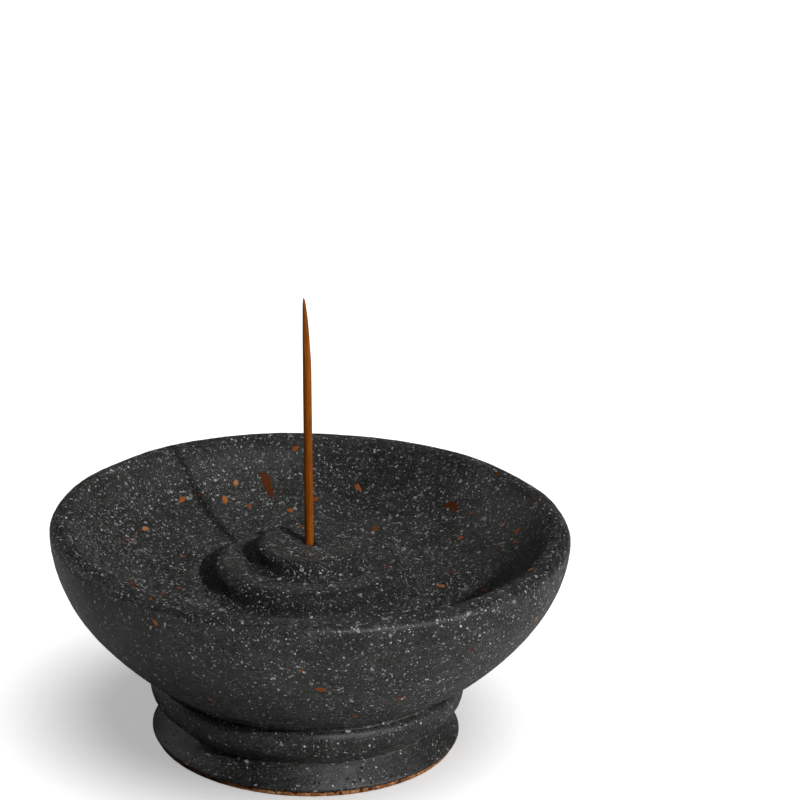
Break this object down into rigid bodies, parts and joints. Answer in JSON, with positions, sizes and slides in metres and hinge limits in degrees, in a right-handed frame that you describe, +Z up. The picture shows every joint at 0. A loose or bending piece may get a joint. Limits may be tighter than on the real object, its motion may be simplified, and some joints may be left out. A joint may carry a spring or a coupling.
{
  "type": "incense burner",
  "caption": "Cast bowl on a two-ring foot, with a stepped boss in its dish that holds a loose pointed incense pin, and a cork disc underneath.",
  "frame": {"origin": "centre of the cork disc's underside, where the burner rests on the table", "axes": "+Z up along the bowl's axis; -Y is the front, the side seen first; the pin leans towards -X"},
  "size_m": [0.12, 0.12, 0.1071],
  "materials": {
    "terrazzo": "matte",
    "cork": "matte",
    "adhesive": "satin",
    "bamboo": "satin"
  },
  "bodies": {
    "burner": {"bowl": "terrazzo", "cork_pad": "cork", "adhesive_film": "adhesive"},
    "pin": {"bamboo_pin": "bamboo"}
  },
  "joints": [
    {"name": "pin_lift", "type": "slide", "parent": "burner", "child": "pin", "axis": [-0.0323, 0, 0.9995], "range_m": [0, 0.04]}
  ]
}
